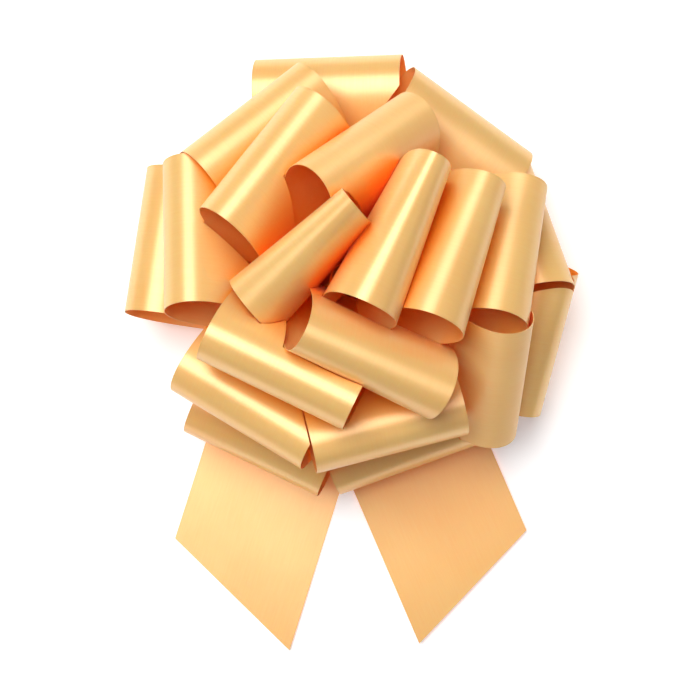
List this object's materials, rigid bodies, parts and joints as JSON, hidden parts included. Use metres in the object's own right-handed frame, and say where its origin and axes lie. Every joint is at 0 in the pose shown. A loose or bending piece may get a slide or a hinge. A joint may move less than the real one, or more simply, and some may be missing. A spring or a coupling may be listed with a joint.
{
  "type": "gift bow",
  "caption": "Pull bow of wide satin ribbon: stacked loops fanned around a narrow pull ribbon, with two diagonal-cut tails, lying flat on its back.",
  "frame": {"origin": "middle of the flat knot's underside at the back of the bow, on the axis of its core, where the bow meets the gift", "axes": "+Z along the core from the gift outwards through the loops, +Y away from the two tails, +X to the right seen from the front"},
  "size_m": [0.144, 0.1942, 0.0934],
  "materials": {
    "satin_ribbon": "satin weave, soft sheen",
    "sealed_ribbon": "heat-pressed and narrow ribbon, smooth"
  },
  "bodies": {
    "head": {"loop_01a": "satin_ribbon", "loop_01b": "satin_ribbon", "loop_02a": "satin_ribbon", "loop_02b": "satin_ribbon", "loop_03a": "satin_ribbon", "loop_03b": "satin_ribbon", "loop_04a": "satin_ribbon", "loop_04b": "satin_ribbon", "loop_05a": "satin_ribbon", "loop_05b": "satin_ribbon", "loop_06a": "satin_ribbon", "loop_06b": "satin_ribbon", "loop_07a": "satin_ribbon", "loop_07b": "satin_ribbon", "loop_08a": "satin_ribbon", "loop_08b": "satin_ribbon", "loop_09a": "satin_ribbon", "loop_09b": "satin_ribbon", "loop_10a": "satin_ribbon", "loop_10b": "satin_ribbon", "pull_ribbon": "sealed_ribbon", "seal_01": "sealed_ribbon", "seal_02": "sealed_ribbon", "seal_03": "sealed_ribbon", "seal_04": "sealed_ribbon", "seal_05": "sealed_ribbon", "seal_06": "sealed_ribbon", "seal_07": "sealed_ribbon", "seal_08": "sealed_ribbon", "seal_09": "sealed_ribbon", "seal_10": "sealed_ribbon", "seal_11": "sealed_ribbon"},
    "tail_left": {"tail_left": "satin_ribbon"},
    "tail_right": {"tail_right": "satin_ribbon"}
  },
  "joints": [
    {"name": "tail_left_swing", "type": "hinge", "parent": "head", "child": "tail_left", "pos_m": [0, 0, 0.001], "axis": [0, 0, 1], "range_deg": [-10, 10]},
    {"name": "tail_right_swing", "type": "hinge", "parent": "head", "child": "tail_right", "pos_m": [0, 0, 0.0016], "axis": [0, 0, 1], "range_deg": [-10, 10]}
  ]
}
